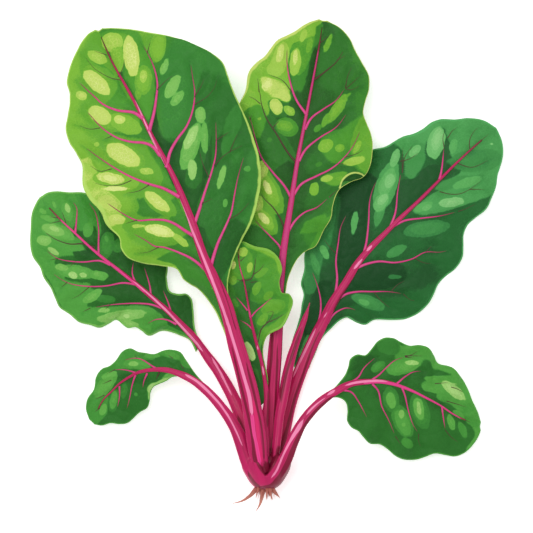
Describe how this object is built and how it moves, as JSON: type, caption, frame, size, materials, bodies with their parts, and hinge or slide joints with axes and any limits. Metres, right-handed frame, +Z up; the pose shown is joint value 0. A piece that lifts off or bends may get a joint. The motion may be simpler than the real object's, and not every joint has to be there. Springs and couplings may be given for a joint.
{
  "type": "swiss chard bunch",
  "caption": "Whole ruby-stalked Swiss chard plant lying on a surface: ruffled green leaves on red stalks that join in a crown with short roots.",
  "frame": {"origin": "flat spot under the crown, on the surface that the bunch lies on", "axes": "+Y from the crown along the leaves, +Z up from the surface, +X to the right of the leaves seen from above"},
  "size_m": [0.4054, 0.4232, 0.0549],
  "materials": {
    "stalk_red": "satin",
    "crown_red": "satin",
    "root_tan": "matt",
    "tall_left_green": "satin",
    "tall_middle_green": "satin",
    "right_green": "satin",
    "left_green": "satin",
    "low_left_green": "satin",
    "low_right_green": "satin",
    "heart_green": "satin"
  },
  "bodies": {
    "root": {"crown": "crown_red", "roots": "root_tan", "young_stalk": "stalk_red", "tall_left_leaf_stalk": "stalk_red", "tall_left_leaf_blade": "tall_left_green", "tall_middle_leaf_stalk": "stalk_red", "tall_middle_leaf_blade": "tall_middle_green", "right_leaf_stalk": "stalk_red", "right_leaf_blade": "right_green", "left_leaf_stalk": "stalk_red", "left_leaf_blade": "left_green", "low_left_leaf_stalk": "stalk_red", "low_left_leaf_blade": "low_left_green", "low_right_leaf_stalk": "stalk_red", "low_right_leaf_blade": "low_right_green", "heart_leaf_stalk": "stalk_red", "heart_leaf_blade": "heart_green"}
  },
  "joints": []
}
